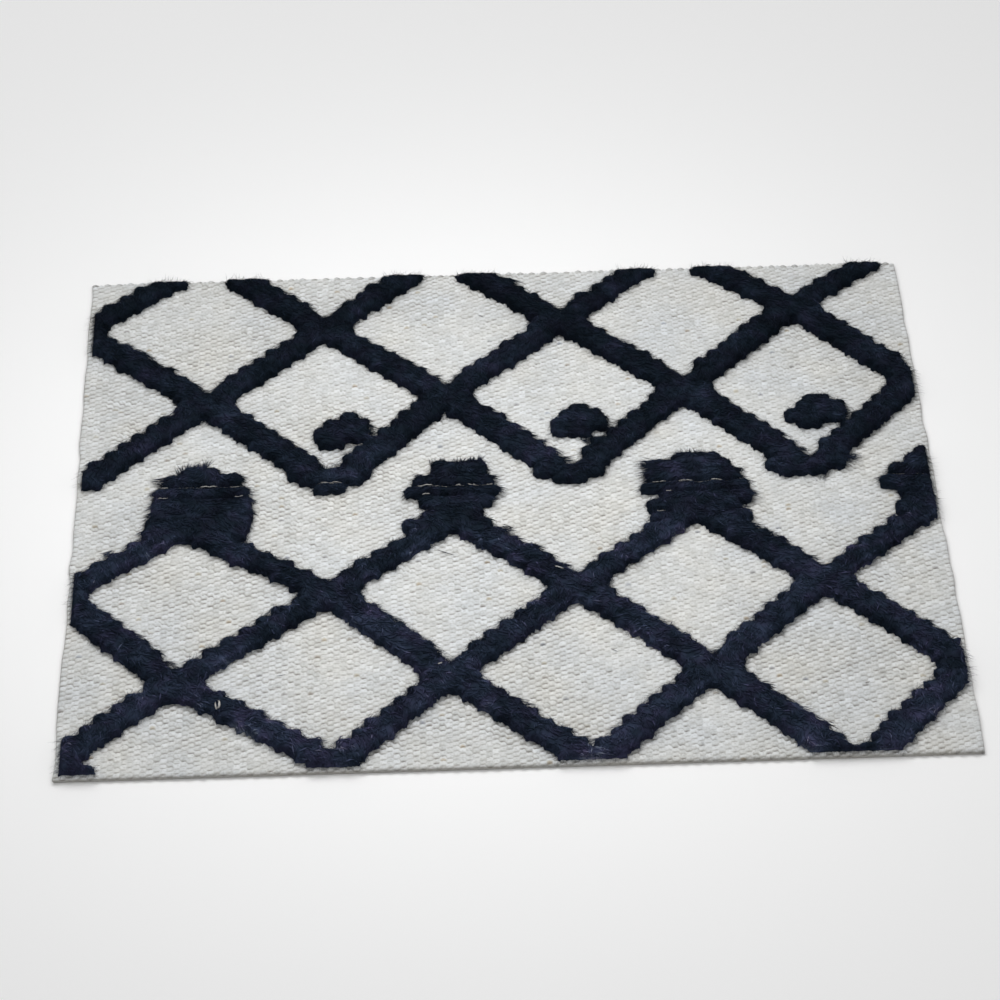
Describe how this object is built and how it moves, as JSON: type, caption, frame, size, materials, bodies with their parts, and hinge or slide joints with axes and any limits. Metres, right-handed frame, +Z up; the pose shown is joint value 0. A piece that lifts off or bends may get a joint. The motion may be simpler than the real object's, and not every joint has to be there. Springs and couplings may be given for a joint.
{
  "type": "kilim rug",
  "caption": "Flat cut length of a cream weft-faced kilim rug with dark raised pile bands in a diamond trellis, stepped blocks and small dots.",
  "frame": {"origin": "middle of the underside, on the surface the rug lies on", "axes": "+X along the weft, the longest side; +Y along the warp, away from the front edge; +Z up, through the pile"},
  "size_m": [0.56, 0.471, 0.012],
  "materials": {
    "ground_wool": "matt undyed cream wool, weft-faced plain weave",
    "pile_wool": "near-black navy wool pile, brushed over, slightly hairy"
  },
  "bodies": {
    "root": {"rug": "ground_wool"}
  },
  "joints": []
}
